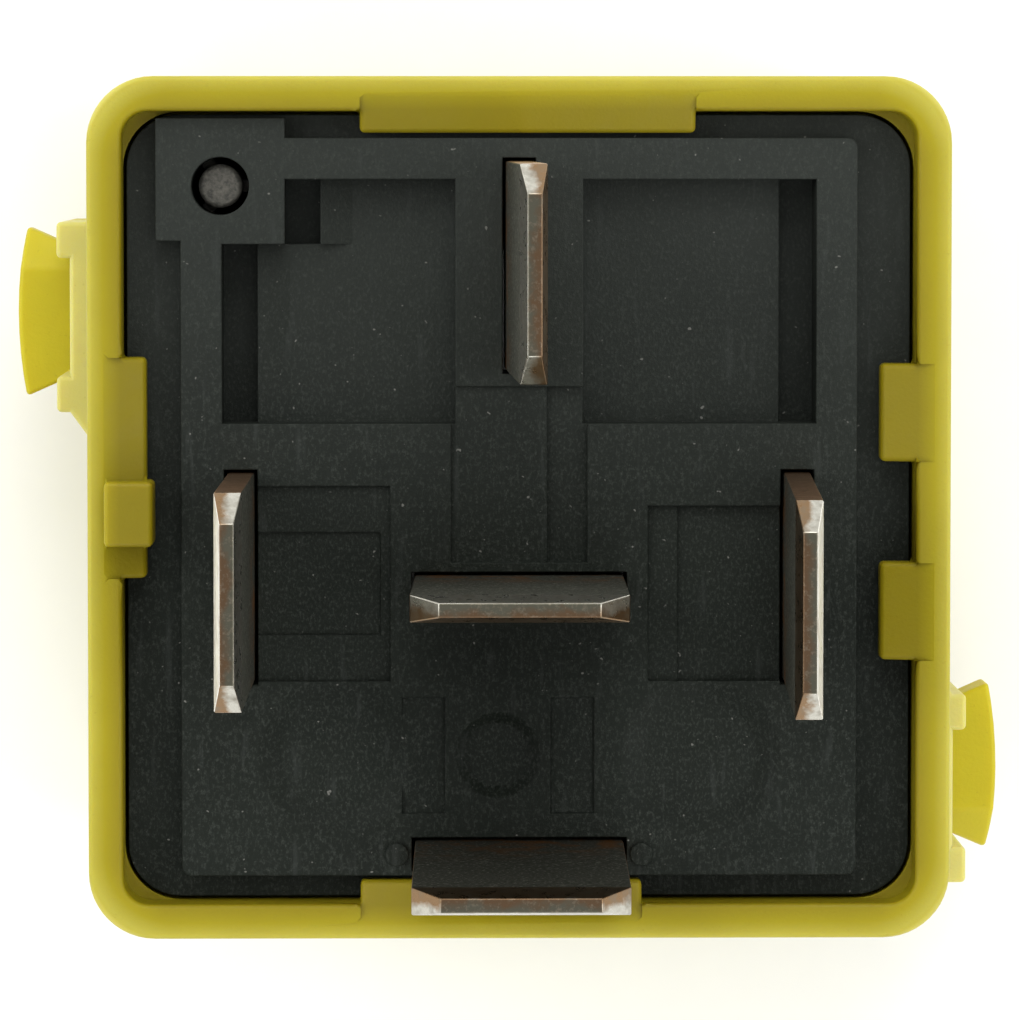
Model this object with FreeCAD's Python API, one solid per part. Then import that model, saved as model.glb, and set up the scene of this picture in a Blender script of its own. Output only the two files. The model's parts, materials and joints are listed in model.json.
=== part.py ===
# Changeover relay with five blade terminals, in millimetres.
# The closed end of the cover stands on Z = 0 and the blades point along +Z.
# The origin is the centre of the cover's closed end.
# +Y points from the changeover contacts to terminal 30, and +X to terminal 85.

import FreeCAD, Part
import math
import os

os.makedirs("parts", exist_ok=True)
Vector = FreeCAD.Vector
UP = Vector(0, 0, 1)

# Cover
COVER_SIZE = 26.0
COVER_HEIGHT = 25.2
COVER_WALL = 1.05
COVER_END_WALL = 1.2
COVER_CORNER_R = 2.0
COVER_INNER_R = 0.8
COVER_END_EDGE_R = 0.8
COVER_DRAFT = 0.12
BASE_SEAT_STEP = 0.35

# Rim tabs of the cover, which hold the base in
TAB_CLEARANCE = 0.05
TAB_RAMP_START = 0.5
TAB_RAMP_DROP = 0.5
TOP_TAB_START = -4.8
TOP_TAB_WIDTH = 10.1
TOP_TAB_REACH = 0.65
BOTTOM_TAB_START = -4.8
BOTTOM_TAB_WIDTH = 8.5
BOTTOM_TAB_REACH = 0.68
LEFT_TAB_START = -2.1
LEFT_TAB_WIDTH = 6.65
LEFT_TAB_REACH = 0.72
RIGHT_TAB_STARTS = (1.4, -4.6)
RIGHT_TAB_WIDTH = 2.95
RIGHT_TAB_REACH = 1.05
KEY_LUG_START = -1.1
KEY_LUG_WIDTH = 1.95
KEY_LUG_REACH = 0.95
KEY_LUG_RISE = 0.7

# Dovetail rails on the sides of the cover
LEFT_RAIL_MARGIN = 7.53
RIGHT_RAIL_MARGIN = 3.36
RAIL_START = 3.5
RIB_DEPTH = 11.5
HEAD_DEPTH = 18.8
HEAD_LENGTH = 2.0
RAIL_BLOCK_WIDTH = 6.06
RAIL_BLOCK_DEPTH = 1.1
RIB_WIDTH = 1.15
RIB_RISE = 0.42
RAIL_FILLET = 1.5
NECK_WIDTH = 4.0
HEAD_WIDTH = 5.6
HEAD_REACH = 1.8
HEAD_CROWN = 0.27
HEAD_BEVEL_WIDTH = 1.35
HEAD_BEVEL_DROP = 0.9

# Base
BASE_CLEARANCE = 0.1
BASE_THICKNESS = 3.6
BASE_RECESS = 0.6
BASE_CORNER_R = 1.6
LEDGE_DROP = 0.8
PLATEAU_MARGIN_X = 1.65
PLATEAU_MARGIN_Y = 0.7
PLATEAU_CORNER_R = 0.3

# Recesses of the base's outer face
POCKET_DEPTH = 1.1
SLOT_DEPTH = 1.9
POCKET_FAR_MARGIN = 1.95
POCKET_NEAR_GAP = 1.5
POCKET_OUTER_MARGIN = 2.9
POCKET_RIB = 3.86
POCKET_SLOT_WIDTH = 1.05
POCKET_RAMP_WIDTH = 0.97
POCKET_RAMP_RISE = 0.25
POCKET_NOTCH_X = 1.9
POCKET_NOTCH_Y = 1.95
CHANNEL_WIDTH = 4.1
CHANNEL_DEPTH = 0.15
CHANNEL_STEP_X = 0.84
CHANNEL_TO_30 = 0.5
CHANNEL_TO_ROW = 0.8
RELIEF_DEPTH = 0.2
RELIEF_STEP = 0.12
RELIEF_TO_87A = 0.75
RELIEF_LENGTH = 5.6
RELIEF_GAP = 0.3
DISC_DEPTH = 0.35
DISC_WALL = 0.7
SMALL_DISC_WALL = 0.35
DISC_MARGIN = 1.8
DISC_FROM_BLADE = 2.9
DISC_FROM_87 = 3.0
SMALL_DISC_X = -0.65
SMALL_DISC_R = 1.3
GATE_PAD_LENGTH = 3.5
GATE_PAD_WIDTH = 1.3
GATE_PAD_GAP = 0.3
BUMP_R = 0.35
BUMP_RISE = 0.12
BUMP_GAP = 0.55
CORNER_PAD_X = 3.9
CORNER_PAD_Y = 3.8
CORNER_PAD_GROWTH = 0.75
VENT_MARGIN_X = 2.85
VENT_MARGIN_Y = 2.15
VENT_R = 0.87
VENT_PLUG_R = 0.66
VENT_PLUG_DROP = 0.5
VENT_PLUG_CHAMFER = 0.1
VENT_RIB_WIDTH = 0.4
VENT_RIB_COUNT = 3

# Blade terminals
BLADE_WIDTH = 6.3
BLADE_THICKNESS = 0.8
BLADE_LENGTH = 11.6
TIP_LENGTH = 1.0
TIP_FLAT = 0.42
TIP_SIDE = 0.85
SLOT_CLEARANCE = 0.1
ROW_Y = -2.1
ROW_87A_DROP = 0.35
COIL_BLADE_MARGIN = 4.6
BLADE_87_MARGIN = 2.5
BLADE_30_MARGIN = 5.7
LEAN_30 = 0.23
TILT_30 = -0.05
LEAN_85 = -0.35
TILT_85 = -0.25
LEAN_86 = -0.12
TILT_86 = 0.0
LEAN_87 = -0.18
TILT_87 = -0.15
LEAN_87A = 0.19
TILT_87A = -0.2

# Inner ends of the terminals
STRIP_WIDTH = 2.8
STRIP_BEND_R = 0.6
STRIP_GAP = 0.6
STRIP_BEHIND_87 = 1.3
WIDE_STRIP_LENGTH = 2.8
CHANNEL_CLEARANCE = 0.1
FOLD_REACH = 4.2
FOLD_DEPTH = 1.55
FOLD_TO_LEAF = 1.1
FOLD_BEND_R = 0.8
COIL_TAIL_WIDTH = 2.0
COIL_TAIL_LENGTH = 9.0

# Yoke, core, bobbin and coil
FOOT_GAP = 0.6
YOKE_THICKNESS = 1.5
YOKE_INSET = 0.1
YOKE_BEND_R = 1.25
YOKE_FOOT_MARGIN = 2.0
YOKE_FOOT_CORNER_R = 2.5
SEAT_PAD_SIZE = 1.8
SEAT_PAD_INSET = 1.1
SEAT_PAD_GAP = 0.3
CORE_SHARE = 0.4
POLE_MARGIN = 1.4
POLE_THICKNESS = 1.0
SWAGE_MARGIN = 0.6
SWAGE_HEIGHT = 0.3
BOBBIN_BORE_CLEARANCE = 0.05
BOBBIN_WALL = 0.75
FLANGE_THICKNESS = 0.8
FLANGE_GAP = 0.5
WING_WIDTH = 2.2
WING_REACH = 1.1
COIL_INSET = 0.4

# Armature and its leaf spring, in the closed pose
AIR_GAP = 0.05
ARMATURE_THICKNESS = 1.2
ARMATURE_WIDTH = 10.6
ARMATURE_INSET = 0.3
ARMATURE_CORNER_R = 2.2
HEEL_WIDTH = 8.6
HEEL_LENGTH = 1.9
LEAF_THICKNESS = 0.25
LEAF_WIDTH = 8.0
LEAF_LOOP_WIDTH = 5.6
LEAF_TIP_WIDTH = 3.0
LEAF_SEAT_GAP = 0.02
LEAF_LIMB_LENGTH = 4.8
LEAF_LIMB_START = 7.7
LEAF_LOOP_BULGE = 1.1
LEAF_LOOP_R = 0.9
LEAF_SLOT_WIDTH = 2.0
RIVET_R = 0.8
RIVET_HEAD_R = 1.3
RIVET_HEAD_THICKNESS = 0.4
RIVET_CLEARANCE = 0.05
ARMATURE_RIVET_SPREAD = 2.5
ARMATURE_RIVET_Y = 2.5
YOKE_RIVET_SPREAD = 1.5

# Contacts
CONTACT_TRAVEL = 0.9
CONTACT_CLEARANCE = 0.03
CONTACT_R = 1.25
CONTACT_THICKNESS = 0.5
CONTACT_DOME_R = 4.5
CONTACT_SHANK_R = 0.7
CONTACT_FROM_87 = 1.0
CONTACT_CHAMFER = 0.12
CONTACT_DOME_RINGS = (0.18, 0.55, 1.0)
TAB_OVERHANG = 0.15
FLOOR_CLEARANCE = 0.75

# Suppression resistor and wires
RESISTOR_R = 1.0
RESISTOR_WAIST_R = 0.85
RESISTOR_LENGTH = 6.4
RESISTOR_CAP_LENGTH = 1.3
RESISTOR_GAP = 0.6
RESISTOR_CLEARANCE = 0.3
RESISTOR_RISE = 1.0
RESISTOR_LEAD_R = 0.3
LEAD_BEND_R = 0.8
COIL_LEAD_R = 0.15
COIL_LEAD_BEND_R = 0.5
COIL_LEAD_DROP = 0.7
COIL_LEAD_ANGLE = 35.0
COIL_LEAD_RUN = 1.6
WIRE_SIDES = 8

# Worked-out sizes of the cover and base
COVER_HALF = COVER_SIZE / 2
INNER_HALF = COVER_HALF - COVER_WALL
BASE_HALF = INNER_HALF - BASE_CLEARANCE
PLATEAU_Z = COVER_HEIGHT - BASE_RECESS
LEDGE_Z = PLATEAU_Z - LEDGE_DROP
BASE_Z = PLATEAU_Z - BASE_THICKNESS
TIP_Z = PLATEAU_Z + BLADE_LENGTH
HALF_BLADE = BLADE_WIDTH / 2
HALF_SHEET = BLADE_THICKNESS / 2
COIL_BLADE_SPREAD = COVER_HALF - COIL_BLADE_MARGIN
Y_30 = COVER_HALF - BLADE_30_MARGIN
Y_87 = BLADE_87_MARGIN - COVER_HALF
Y_87A = ROW_Y - ROW_87A_DROP
LEFT_RAIL_Y = COVER_HALF - LEFT_RAIL_MARGIN
RIGHT_RAIL_Y = RIGHT_RAIL_MARGIN - COVER_HALF

# Worked-out places of the recesses
POCKET_FAR_Y = BASE_HALF - POCKET_FAR_MARGIN
POCKET_NEAR_Y = ROW_Y + HALF_BLADE + POCKET_NEAR_GAP
POCKET_OUTER_X = BASE_HALF - POCKET_OUTER_MARGIN
DISC_R = (ROW_Y - Y_87) / 2 - DISC_MARGIN
DISC_SPREAD = COIL_BLADE_SPREAD - DISC_FROM_BLADE
DISC_Y = Y_87 + DISC_FROM_87
VENT_X = VENT_MARGIN_X - BASE_HALF
VENT_Y = BASE_HALF - VENT_MARGIN_Y

# Worked-out places of the magnet
FOOT_TOP_Z = BASE_Z - FOOT_GAP
FOOT_Z = FOOT_TOP_Z - YOKE_THICKNESS
YOKE_FACE_Y = Y_30 + HALF_BLADE - FOLD_DEPTH
STRIP_87A_Y = Y_87 + STRIP_BEHIND_87
RESISTOR_Y = STRIP_87A_Y + HALF_SHEET + RESISTOR_CLEARANCE + RESISTOR_R
COIL_HIGH_Y = YOKE_FACE_Y - YOKE_THICKNESS - FLANGE_GAP
COIL_LOW_Y = RESISTOR_Y + RESISTOR_R + RESISTOR_GAP
FLANGE_R = (COIL_HIGH_Y - COIL_LOW_Y + COIL_INSET) / 2
COIL_Y = COIL_HIGH_Y - FLANGE_R
COIL_R = FLANGE_R - COIL_INSET
CORE_R = CORE_SHARE * FLANGE_R
POLE_R = CORE_R + POLE_MARGIN
SWAGE_R = CORE_R + SWAGE_MARGIN
YOKE_WIDTH = 2 * (FLANGE_R - YOKE_INSET)
YOKE_FOOT_REACH = SWAGE_R + YOKE_FOOT_MARGIN
BARREL_R = CORE_R + BOBBIN_BORE_CLEARANCE + BOBBIN_WALL
COIL_TAIL_Z = BASE_Z - COIL_TAIL_LENGTH
RESISTOR_Z = COIL_TAIL_Z + RESISTOR_RISE

# Worked-out places of the contacts and of the armature's pivot
CONTACT_Y = Y_87 + CONTACT_FROM_87
LEVER = YOKE_FACE_Y - CONTACT_Y
OPEN_ANGLE = math.asin(CONTACT_TRAVEL / LEVER)
NC_TAB_Z = COVER_END_WALL + FLOOR_CLEARANCE
NC_FACE_Z = NC_TAB_Z + BLADE_THICKNESS + CONTACT_THICKNESS
DOME_DROP = ARMATURE_THICKNESS + LEAF_THICKNESS + CONTACT_THICKNESS - CONTACT_DOME_R
DOME_LOW = LEVER * math.sin(OPEN_ANGLE) + DOME_DROP * math.cos(OPEN_ANGLE) + CONTACT_DOME_R
PIVOT_Z = NC_FACE_Z + CONTACT_CLEARANCE + DOME_LOW
PIVOT = Vector(0, YOKE_FACE_Y, PIVOT_Z)
POLE_Z = PIVOT_Z + AIR_GAP
BOBBIN_Z = POLE_Z + POLE_THICKNESS
ARMATURE_Z = PIVOT_Z - ARMATURE_THICKNESS
LEAF_Z = ARMATURE_Z - LEAF_THICKNESS
NO_FACE_Z = ARMATURE_Z + CONTACT_THICKNESS + CONTACT_CLEARANCE
NO_TAB_Z = NO_FACE_Z + CONTACT_THICKNESS
RIVET_Z = LEAF_LIMB_START + LEAF_LIMB_LENGTH / 2


def box(x0, x1, y0, y1, z0, z1):
    return Part.makeBox(x1 - x0, y1 - y0, z1 - z0, Vector(x0, y0, z0))


def post(radius, x, y, z0, z1):
    return Part.makeCylinder(radius, z1 - z0, Vector(x, y, z0))


def disc(radius, x, y, z0, z1, chamfer_z0=0.0, chamfer_z1=0.0):
    outline = [
        Vector(0, 0, z0),
        Vector(radius - chamfer_z0, 0, z0),
        Vector(radius, 0, z0 + chamfer_z0),
        Vector(radius, 0, z1 - chamfer_z1),
        Vector(radius - chamfer_z1, 0, z1),
        Vector(0, 0, z1),
    ]
    return turned(outline).translated(Vector(x, y, 0))


def turned(outline):
    """Solid of revolution about Z of an outline in the XZ plane."""
    points = [outline[0]]
    for point in outline[1:]:
        if (point - points[-1]).Length > 1e-6:
            points.append(point)
    face = Part.Face(Part.makePolygon(points + [points[0]]))
    return face.revolve(Vector(0, 0, 0), UP, 360)


def rounded_outline(size_x, size_y, radius, z):
    x = size_x / 2
    y = size_y / 2
    corners = [Vector(x, y, z), Vector(-x, y, z), Vector(-x, -y, z), Vector(x, -y, z)]
    start = (corners[0] + corners[-1]) / 2
    return path_wire([start] + corners + [start], radius)


def rounded_block(size_x, size_y, radius, z0, z1):
    face = Part.Face(rounded_outline(size_x, size_y, radius, z0))
    return face.extrude(UP * (z1 - z0))


def prism(points, z0, z1):
    outline = [Vector(x, y, z0) for x, y in points]
    face = Part.Face(Part.makePolygon(outline + [outline[0]]))
    return face.extrude(UP * (z1 - z0))


def path_wire(points, radius):
    """Straight runs through the points, with a round bend at each corner."""
    edges = []
    last = points[0]
    for before, corner, after in zip(points, points[1:], points[2:]):
        back = (before - corner).normalize()
        ahead = (after - corner).normalize()
        half_angle = back.getAngle(ahead) / 2
        reach = radius / math.tan(half_angle)
        inward = (back + ahead).normalize()
        start = corner + back * reach
        middle = corner + inward * (radius / math.sin(half_angle) - radius)
        end = corner + ahead * reach
        edges.append(Part.makeLine(last, start))
        edges.append(Part.Arc(start, middle, end).toShape())
        last = end
    edges.append(Part.makeLine(last, points[-1]))
    return Part.Wire(edges)


def sheet(points, thickness, radius, sweep):
    """Bent sheet whose mid-plane follows the points, swept along one direction."""
    path = path_wire(points, radius)
    halves = [path.makeOffset2D(side * thickness / 2, 0, True, True) for side in (1, -1)]
    return fused([half.extrude(sweep) for half in halves])


def wire_section(start, ahead, across, wire_radius):
    """Eight-sided section of a wire; across is any direction square to the wire."""
    upward = ahead.cross(across)
    points = []
    for number in range(WIRE_SIDES + 1):
        angle = math.radians(360 * (number + 0.5) / WIRE_SIDES)
        points.append(start + (across * math.cos(angle) + upward * math.sin(angle)) * wire_radius)
    return Part.Face(Part.makePolygon(points))


def wire_along(points, wire_radius, bend_radius):
    """Wire with straight runs and a turned bend at each corner."""
    across = (points[1] - points[0]).cross(points[2] - points[1]).normalize()
    runs = []
    for edge in path_wire(points, bend_radius).Edges:
        start, end = [edge.valueAt(place) for place in edge.ParameterRange]
        ahead = edge.tangentAt(edge.FirstParameter)
        section = wire_section(start, ahead, across, wire_radius)
        if edge.Curve.TypeId == "Part::GeomCircle":
            angle = math.degrees(edge.LastParameter - edge.FirstParameter)
            runs.append(section.revolve(edge.Curve.Center, edge.Curve.Axis, angle))
        else:
            runs.append(section.extrude(end - start))
    return fused(runs)


def fused(shapes):
    return shapes[0].multiFuse(shapes[1:]).removeSplitter()


def at_rest(shape):
    """The armature drops away from the pole about its heel when the coil is off."""
    turned_shape = shape.copy()
    turned_shape.rotate(PIVOT, Vector(1, 0, 0), math.degrees(OPEN_ANGLE))
    return turned_shape


def rest_point(y, z):
    return at_rest(Part.Vertex(0, y, z)).Point


def edges_at_z(shape, z):
    return [edge for edge in shape.Edges if all(abs(v.Z - z) < 1e-6 for v in edge.Vertexes)]


# Cover

def cover_shell():
    end_size = COVER_SIZE - 2 * COVER_DRAFT
    end = rounded_outline(end_size, end_size, COVER_CORNER_R - COVER_DRAFT, 0)
    rim = rounded_outline(COVER_SIZE, COVER_SIZE, COVER_CORNER_R, COVER_HEIGHT)
    outer = Part.makeLoft([end, rim], True, True)
    outer = outer.makeFillet(COVER_END_EDGE_R, edges_at_z(outer, 0))
    inner_size = 2 * INNER_HALF
    lower_size = inner_size - 2 * BASE_SEAT_STEP
    seat_r = BASE_CORNER_R + BASE_CLEARANCE
    rooms = [
        rounded_block(inner_size, inner_size, COVER_INNER_R, LEDGE_Z, COVER_HEIGHT),
        rounded_block(inner_size, inner_size, seat_r, BASE_Z, LEDGE_Z),
        rounded_block(lower_size, lower_size, COVER_INNER_R, COVER_END_WALL, BASE_Z),
    ]
    return outer.cut(rooms)


def rim_block(turns, start, width, reach, rise=0.0):
    """Block on the rim; turns counts quarter turns from the +Y side, start runs along the wall."""
    wall_middle = COVER_HALF - COVER_WALL / 2
    low = LEDGE_Z + TAB_CLEARANCE
    block = box(start, start + width, INNER_HALF - reach, wall_middle, low, COVER_HEIGHT + rise)
    block.rotate(Vector(0, 0, 0), UP, 90 * turns)
    return block


def rim_ramp(turns, start, width, reach):
    """What the slope on top of a tab takes away, from the middle of the rim inwards."""
    inner = INNER_HALF - reach
    outline = [
        Vector(start, COVER_HALF - TAB_RAMP_START, COVER_HEIGHT),
        Vector(start, inner, COVER_HEIGHT - TAB_RAMP_DROP),
        Vector(start, inner, COVER_HEIGHT),
    ]
    ramp = Part.Face(Part.makePolygon(outline + [outline[0]])).extrude(Vector(width, 0, 0))
    ramp.rotate(Vector(0, 0, 0), UP, 90 * turns)
    return ramp


def tab_places():
    """Quarter turns, start, width and reach of each tab."""
    places = [
        (0, TOP_TAB_START, TOP_TAB_WIDTH, TOP_TAB_REACH),
        (1, LEFT_TAB_START, LEFT_TAB_WIDTH, LEFT_TAB_REACH),
        (2, -BOTTOM_TAB_START - BOTTOM_TAB_WIDTH, BOTTOM_TAB_WIDTH, BOTTOM_TAB_REACH),
    ]
    for start in RIGHT_TAB_STARTS:
        places.append((3, -start - RIGHT_TAB_WIDTH, RIGHT_TAB_WIDTH, RIGHT_TAB_REACH))
    return places


def dovetail_head(wall_x, top_z):
    neck_x = COVER_HALF + RAIL_BLOCK_DEPTH
    corner_x = neck_x + HEAD_REACH
    low_z = top_z - HEAD_LENGTH
    half_neck = NECK_WIDTH / 2
    half_head = HEAD_WIDTH / 2
    outline = [
        Vector(corner_x, -half_head, low_z),
        Vector(neck_x, -half_neck, low_z),
        Vector(wall_x, -half_neck, low_z),
        Vector(wall_x, half_neck, low_z),
        Vector(neck_x, half_neck, low_z),
        Vector(corner_x, half_head, low_z),
    ]
    crown = Vector(corner_x + HEAD_CROWN, 0, low_z)
    edges = Part.makePolygon(outline).Edges
    edges.append(Part.Arc(outline[-1], crown, outline[0]).toShape())
    head = Part.Face(Part.Wire(edges)).extrude(UP * HEAD_LENGTH)
    bevel = [
        Vector(neck_x, -half_head, top_z - HEAD_BEVEL_DROP),
        Vector(neck_x, -half_head, top_z),
        Vector(neck_x, HEAD_BEVEL_WIDTH - half_head, top_z),
    ]
    cutter = Part.Face(Part.makePolygon(bevel + [bevel[0]]))
    return head.cut(cutter.extrude(Vector(2 * HEAD_REACH, 0, 0)))


def dovetail_rail(centre_y, half_turns):
    """Rail on the +X wall, or on the -X wall after a half turn about Z."""
    wall_x = INNER_HALF - BASE_SEAT_STEP / 2
    block_x = COVER_HALF + RAIL_BLOCK_DEPTH
    rib_z = COVER_HEIGHT - RIB_DEPTH
    half_block = RAIL_BLOCK_WIDTH / 2
    fillet = [
        (wall_x, half_block),
        (block_x, half_block),
        (COVER_HALF, half_block + RAIL_FILLET),
        (wall_x, half_block + RAIL_FILLET),
    ]
    rail = [
        box(wall_x, block_x, -half_block, half_block, RAIL_START, rib_z),
        prism(fillet, RAIL_START, rib_z),
        dovetail_head(wall_x, COVER_HEIGHT - HEAD_DEPTH),
    ]
    for low in (-half_block, half_block - RIB_WIDTH):
        rail.append(box(wall_x, block_x + RIB_RISE, low, low + RIB_WIDTH, RAIL_START, rib_z))
    rail = fused(rail)
    rail.rotate(Vector(0, 0, 0), UP, 180 * half_turns)
    return rail.translated(Vector(0, centre_y, 0))


def make_cover():
    tabs = [rim_block(*place) for place in tab_places()]
    ramps = [rim_ramp(*place) for place in tab_places()]
    lug = rim_block(1, KEY_LUG_START, KEY_LUG_WIDTH, KEY_LUG_REACH, KEY_LUG_RISE)
    rails = [dovetail_rail(LEFT_RAIL_Y, 1), dovetail_rail(RIGHT_RAIL_Y, 0)]
    return fused([fused([cover_shell()] + tabs).cut(ramps), lug] + rails)


# Base

def recess(x0, x1, y0, y1, depth):
    return box(x0, x1, y0, y1, PLATEAU_Z - depth, PLATEAU_Z)


def base_body():
    plate = rounded_block(2 * BASE_HALF, 2 * BASE_HALF, BASE_CORNER_R, BASE_Z, LEDGE_Z)
    plateau_x = BASE_HALF - PLATEAU_MARGIN_X
    plateau_y = BASE_HALF - PLATEAU_MARGIN_Y
    plateau = rounded_block(2 * plateau_x, 2 * plateau_y, PLATEAU_CORNER_R, LEDGE_Z, PLATEAU_Z)
    pad_low = plateau_x + CORNER_PAD_GROWTH
    pad_x = CORNER_PAD_X - pad_low
    pad_y = BASE_HALF - CORNER_PAD_Y
    pad_top = BASE_HALF - BASE_CLEARANCE
    corner_pad = box(-pad_low, pad_x, pad_y, pad_top, LEDGE_Z, PLATEAU_Z)
    return fused([plate, plateau, corner_pad] + yoke_seats())


def yoke_seats():
    """Four square posts that the foot of the yoke rests on, clear of the strip from 87a."""
    half = SEAT_PAD_SIZE / 2
    seat_x = YOKE_WIDTH / 2 - SEAT_PAD_INSET
    bend_y = YOKE_FACE_Y - YOKE_THICKNESS / 2 - YOKE_BEND_R
    row_edge = Y_87A + HALF_SHEET + CHANNEL_CLEARANCE
    rows = (row_edge + SEAT_PAD_GAP + half, bend_y - half)
    return [box(x - half, x + half, y - half, y + half, FOOT_TOP_Z, BASE_Z)
            for x in (-seat_x, seat_x) for y in rows]


def left_pocket():
    """Pocket left of terminal 30, with one corner kept and a deep slot along the kept corner."""
    inner_x = -POCKET_RIB / 2
    notch_x = -POCKET_OUTER_X + POCKET_NOTCH_X
    notch_y = POCKET_FAR_Y - POCKET_NOTCH_Y
    slot_x = notch_x + POCKET_SLOT_WIDTH
    return [
        recess(-POCKET_OUTER_X, inner_x, POCKET_NEAR_Y, notch_y, POCKET_DEPTH),
        recess(notch_x, inner_x, notch_y, POCKET_FAR_Y, POCKET_DEPTH),
        recess(-POCKET_OUTER_X, -POCKET_OUTER_X + POCKET_SLOT_WIDTH, POCKET_NEAR_Y, notch_y,
               SLOT_DEPTH),
        recess(notch_x, slot_x, notch_y, POCKET_FAR_Y, SLOT_DEPTH),
    ]


def pocket_ramps():
    """Strips of the left pocket's floor that rise towards its deep slot."""
    floor_z = PLATEAU_Z - POCKET_DEPTH
    notch_y = POCKET_FAR_Y - POCKET_NOTCH_Y
    outer_x = POCKET_SLOT_WIDTH - POCKET_OUTER_X
    ramps = []
    for x, low, high in ((outer_x, POCKET_NEAR_Y, notch_y),
                         (outer_x + POCKET_NOTCH_X, notch_y, POCKET_FAR_Y)):
        outline = [
            Vector(x, low, floor_z - POCKET_RAMP_RISE),
            Vector(x + POCKET_RAMP_WIDTH, low, floor_z - POCKET_RAMP_RISE),
            Vector(x + POCKET_RAMP_WIDTH, low, floor_z),
            Vector(x, low, floor_z + POCKET_RAMP_RISE),
        ]
        face = Part.Face(Part.makePolygon(outline + [outline[0]]))
        ramps.append(face.extrude(Vector(0, high - low, 0)))
    return ramps


def right_pocket():
    slot_x = POCKET_OUTER_X - POCKET_SLOT_WIDTH
    inner_x = POCKET_RIB / 2
    return [
        recess(inner_x, POCKET_OUTER_X, POCKET_NEAR_Y, POCKET_FAR_Y, POCKET_DEPTH),
        recess(slot_x, POCKET_OUTER_X, POCKET_NEAR_Y, POCKET_FAR_Y, SLOT_DEPTH),
    ]


def coil_blade_reliefs():
    """Shallow stepped recesses beside the two coil blades."""
    outer = COIL_BLADE_SPREAD - HALF_SHEET
    inner = HALF_BLADE + RELIEF_TO_87A
    left_low = ROW_Y - HALF_BLADE
    left_high = left_low + RELIEF_LENGTH + RELIEF_GAP
    right_high = left_low + RELIEF_LENGTH - RELIEF_GAP
    deep = RELIEF_DEPTH + RELIEF_STEP
    return [
        recess(-outer, -inner, left_low, left_high, RELIEF_DEPTH),
        recess(-outer, -inner - RELIEF_GAP, left_low + RELIEF_LENGTH / 4,
               left_high - RELIEF_LENGTH / 4, deep),
        recess(inner, outer, left_low, right_high, RELIEF_DEPTH),
        recess(inner + 3 * RELIEF_GAP, outer, left_low, right_high, deep),
    ]


def dish(radius, wall, x):
    """Round recess with a sloping wall."""
    floor_z = PLATEAU_Z - DISC_DEPTH
    return Part.makeCone(radius - wall, radius, DISC_DEPTH, Vector(x, DISC_Y, floor_z))


def round_recesses():
    return [
        dish(DISC_R, DISC_WALL, -DISC_SPREAD),
        dish(DISC_R, DISC_WALL, DISC_SPREAD),
        dish(SMALL_DISC_R, SMALL_DISC_WALL, SMALL_DISC_X),
    ]


def gate_recesses():
    """Two short flats beside the small round recess."""
    low = DISC_Y - GATE_PAD_LENGTH / 2
    high = DISC_Y + GATE_PAD_LENGTH / 2
    left = SMALL_DISC_X - SMALL_DISC_R - GATE_PAD_WIDTH - GATE_PAD_GAP
    right = SMALL_DISC_X + SMALL_DISC_R + GATE_PAD_GAP
    return [recess(x, x + GATE_PAD_WIDTH, low, high, RELIEF_STEP) for x in (left, right)]


def centre_channel():
    """Shallow channel below terminal 30, with its right part at twice the depth."""
    low = Y_87A + CHANNEL_TO_ROW
    high = Y_30 - HALF_BLADE - CHANNEL_TO_30
    side = CHANNEL_WIDTH / 2
    return [
        recess(-side, side, low, high, CHANNEL_DEPTH),
        recess(CHANNEL_STEP_X, side, low, high, 2 * CHANNEL_DEPTH),
    ]


def blade_slots():
    half_width = HALF_BLADE + SLOT_CLEARANCE
    half_gap = HALF_SHEET + SLOT_CLEARANCE
    slots = []
    for x, y in ((0, Y_30), (-COIL_BLADE_SPREAD, ROW_Y), (COIL_BLADE_SPREAD, ROW_Y)):
        slots.append(box(x - half_gap, x + half_gap, y - half_width, y + half_width,
                         BASE_Z, PLATEAU_Z))
    for y in (Y_87A, Y_87):
        slots.append(box(-half_width, half_width, y - half_gap, y + half_gap, BASE_Z, PLATEAU_Z))
    return slots


def strip_channels():
    """Room in the base's inner face for the strip that runs from 87a to the contacts."""
    grow = CHANNEL_CLEARANCE
    left, right = strip_87a_sides()
    top = BASE_Z + BLADE_THICKNESS + grow
    strip_end = STRIP_87A_Y - HALF_SHEET - grow
    row_edge = Y_87A + HALF_SHEET + grow
    wide_end = Y_87A - WIDE_STRIP_LENGTH - grow
    bend_end = Y_87A - STRIP_BEND_R - grow
    bend_top = top + STRIP_BEND_R - HALF_SHEET
    return [
        box(-HALF_BLADE - grow, HALF_BLADE + grow, bend_end, row_edge, BASE_Z, bend_top),
        box(-HALF_BLADE - grow, right + grow, wide_end, row_edge, BASE_Z, top),
        box(left - grow, right + grow, strip_end, row_edge, BASE_Z, top),
    ]


def blade_bumps():
    """Small moulded dots at the ends of the slot of 87."""
    x = HALF_BLADE + BUMP_GAP
    return [post(BUMP_R, side * x, Y_87, PLATEAU_Z, PLATEAU_Z + BUMP_RISE) for side in (-1, 1)]


def make_base():
    cuts = left_pocket() + right_pocket() + coil_blade_reliefs() + round_recesses()
    cuts += gate_recesses() + centre_channel() + blade_slots() + strip_channels()
    cuts.append(post(VENT_R, VENT_X, VENT_Y, BASE_Z, PLATEAU_Z))
    return fused([base_body().cut(cuts)] + blade_bumps() + pocket_ramps())


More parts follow.
